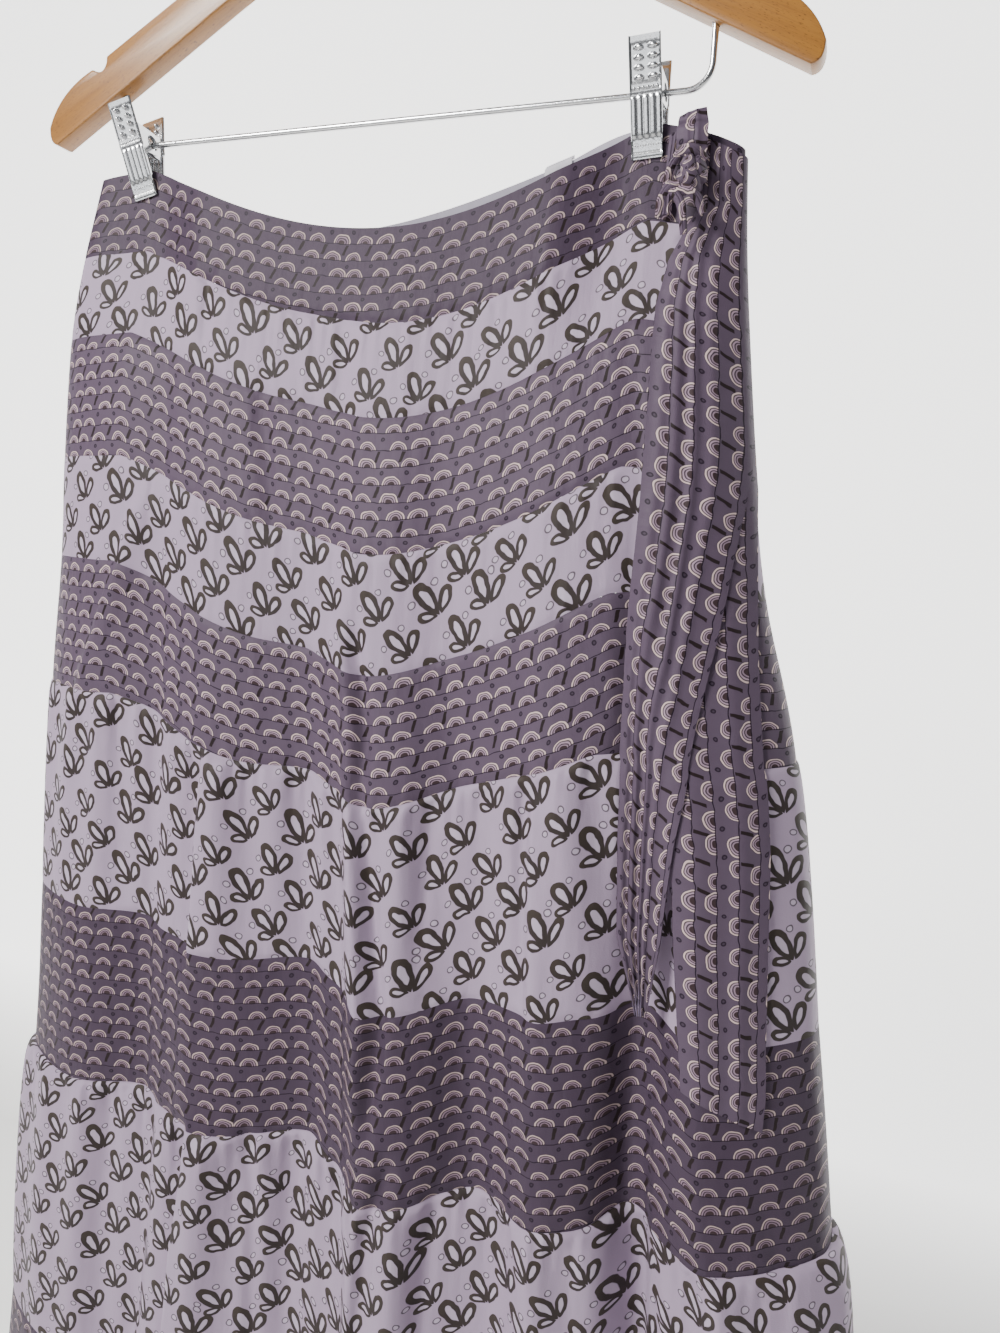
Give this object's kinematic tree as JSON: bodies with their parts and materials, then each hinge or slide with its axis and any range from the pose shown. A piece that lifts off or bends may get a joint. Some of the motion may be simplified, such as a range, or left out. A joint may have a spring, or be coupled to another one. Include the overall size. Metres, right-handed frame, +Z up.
{
  "type": "tiered midi skirt on a clip hanger",
  "caption": "Tiered midi skirt of bands in two alternating prints, with a knotted sash at one hip, held flat by spring clips on a wooden hanger.",
  "frame": {"origin": "inside top of the hanger's hook, where the rail bears", "axes": "+Z up, front towards -Y, +X to the right as seen from the front"},
  "size_m": [0.574, 0.1326, 1.0858],
  "materials": {
    "arch_print": "soft sheen, printed",
    "leaf_print": "soft sheen, printed",
    "facing_cloth": "matt",
    "label_cloth": "matt",
    "honey_wood": "lacquered",
    "chrome": "polished"
  },
  "bodies": {
    "root": {"waist_yoke_front": "arch_print", "waist_yoke_back": "arch_print", "tier1_leaf_front": "leaf_print", "tier1_leaf_back": "leaf_print", "tier2_arch_front": "arch_print", "tier2_arch_back": "arch_print", "tier3_leaf_front": "leaf_print", "tier3_leaf_back": "leaf_print", "tier4_arch_front": "arch_print", "tier4_arch_back": "arch_print", "tier5_leaf_front": "leaf_print", "tier5_leaf_back": "leaf_print", "tier6_arch_front": "arch_print", "tier6_arch_back": "arch_print", "tier7_leaf_front": "leaf_print", "tier7_leaf_back": "leaf_print", "tier8_arch_front": "arch_print", "tier8_arch_back": "arch_print", "waist_facing_back": "facing_cloth", "waist_label_blank": "label_cloth", "sash_tail_under": "arch_print", "sash_tail_over": "arch_print", "sash_stub": "arch_print", "sash_loop": "arch_print", "sash_knot": "arch_print", "hanger_wood": "honey_wood", "hanger_hook": "chrome", "hanger_bar": "chrome", "clip_left_front": "chrome", "clip_left_back": "chrome", "clip_left_spring": "chrome", "clip_right_front": "chrome", "clip_right_back": "chrome", "clip_right_spring": "chrome"}
  },
  "joints": []
}
